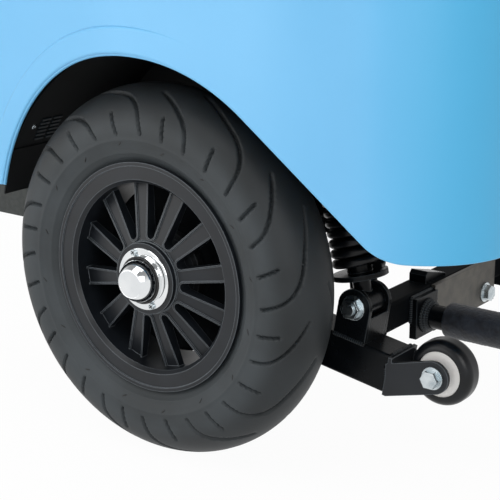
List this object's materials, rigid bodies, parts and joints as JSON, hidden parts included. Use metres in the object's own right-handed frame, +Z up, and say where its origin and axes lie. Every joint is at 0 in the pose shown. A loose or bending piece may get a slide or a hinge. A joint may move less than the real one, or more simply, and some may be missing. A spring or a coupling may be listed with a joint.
{
  "type": "electric scooter rear wheel corner",
  "caption": "Rear corner of an electric scooter: spoked wheel with scooter tyre on a trailing arm, coil spring leg, anti-tip roller, mudguard and the frame that carries them.",
  "frame": {"origin": "middle of the chassis flange on its inboard face", "axes": "+X to the vehicle's rear, +Y inboard out of the flange, +Z up"},
  "size_m": [0.735, 0.46, 0.5339],
  "materials": {
    "tyre": "matte",
    "rim_black": "satin",
    "hub_metal": "satin",
    "cap_chrome": "polished",
    "black_rubber": "matte",
    "frame_black": "gloss",
    "zinc": "satin",
    "rod_chrome": "polished",
    "roller_white": "satin",
    "foam": "textured",
    "guard_blue": "gloss",
    "panel_black": "matte"
  },
  "bodies": {
    "frame": {"arm": "frame_black", "axle_plate": "frame_black", "stub_axle": "zinc", "ear_outer": "frame_black", "ear_inner": "frame_black", "leg_bolt": "zinc", "leg_nut": "zinc", "damper": "frame_black", "spring_top": "frame_black", "rod": "rod_chrome", "coil": "frame_black", "fork": "frame_black", "roller_bolt": "zinc", "roller_nut": "zinc", "cross_member": "frame_black", "chassis_flange": "frame_black", "tower": "frame_black", "top_spacer": "zinc", "top_bolt": "zinc", "top_nut": "zinc", "side_rail": "frame_black", "front_rail": "frame_black", "kick_post": "frame_black", "pivot_lug": "frame_black", "pivot_bolt": "zinc", "weld_plate": "frame_black", "rear_bar": "frame_black", "soft_sleeve": "foam", "back_plate": "frame_black", "back_bolt": "zinc", "body_tab": "frame_black", "mudguard": "guard_blue", "inner_panel": "panel_black", "liner": "panel_black", "ear_back": "frame_black", "brake_plate": "frame_black"},
    "wheel": {"tyre": "tyre", "rim": "rim_black", "hub": "hub_metal", "cap": "cap_chrome", "cap_ring": "black_rubber", "cap_screw_upper": "zinc", "cap_screw_lower": "zinc", "valve": "black_rubber", "brake_drum": "frame_black"},
    "roller": {"roller_tread": "black_rubber", "roller_hub": "roller_white"}
  },
  "joints": [
    {"name": "wheel_spin", "type": "hinge", "parent": "frame", "child": "wheel", "pos_m": [-0.167, -0.4, 0.049], "axis": [0, 1, 0], "continuous": true},
    {"name": "roller_spin", "type": "hinge", "parent": "frame", "child": "roller", "pos_m": [0.1035, -0.32, -0.02151], "axis": [0, 1, 0], "continuous": true}
  ]
}
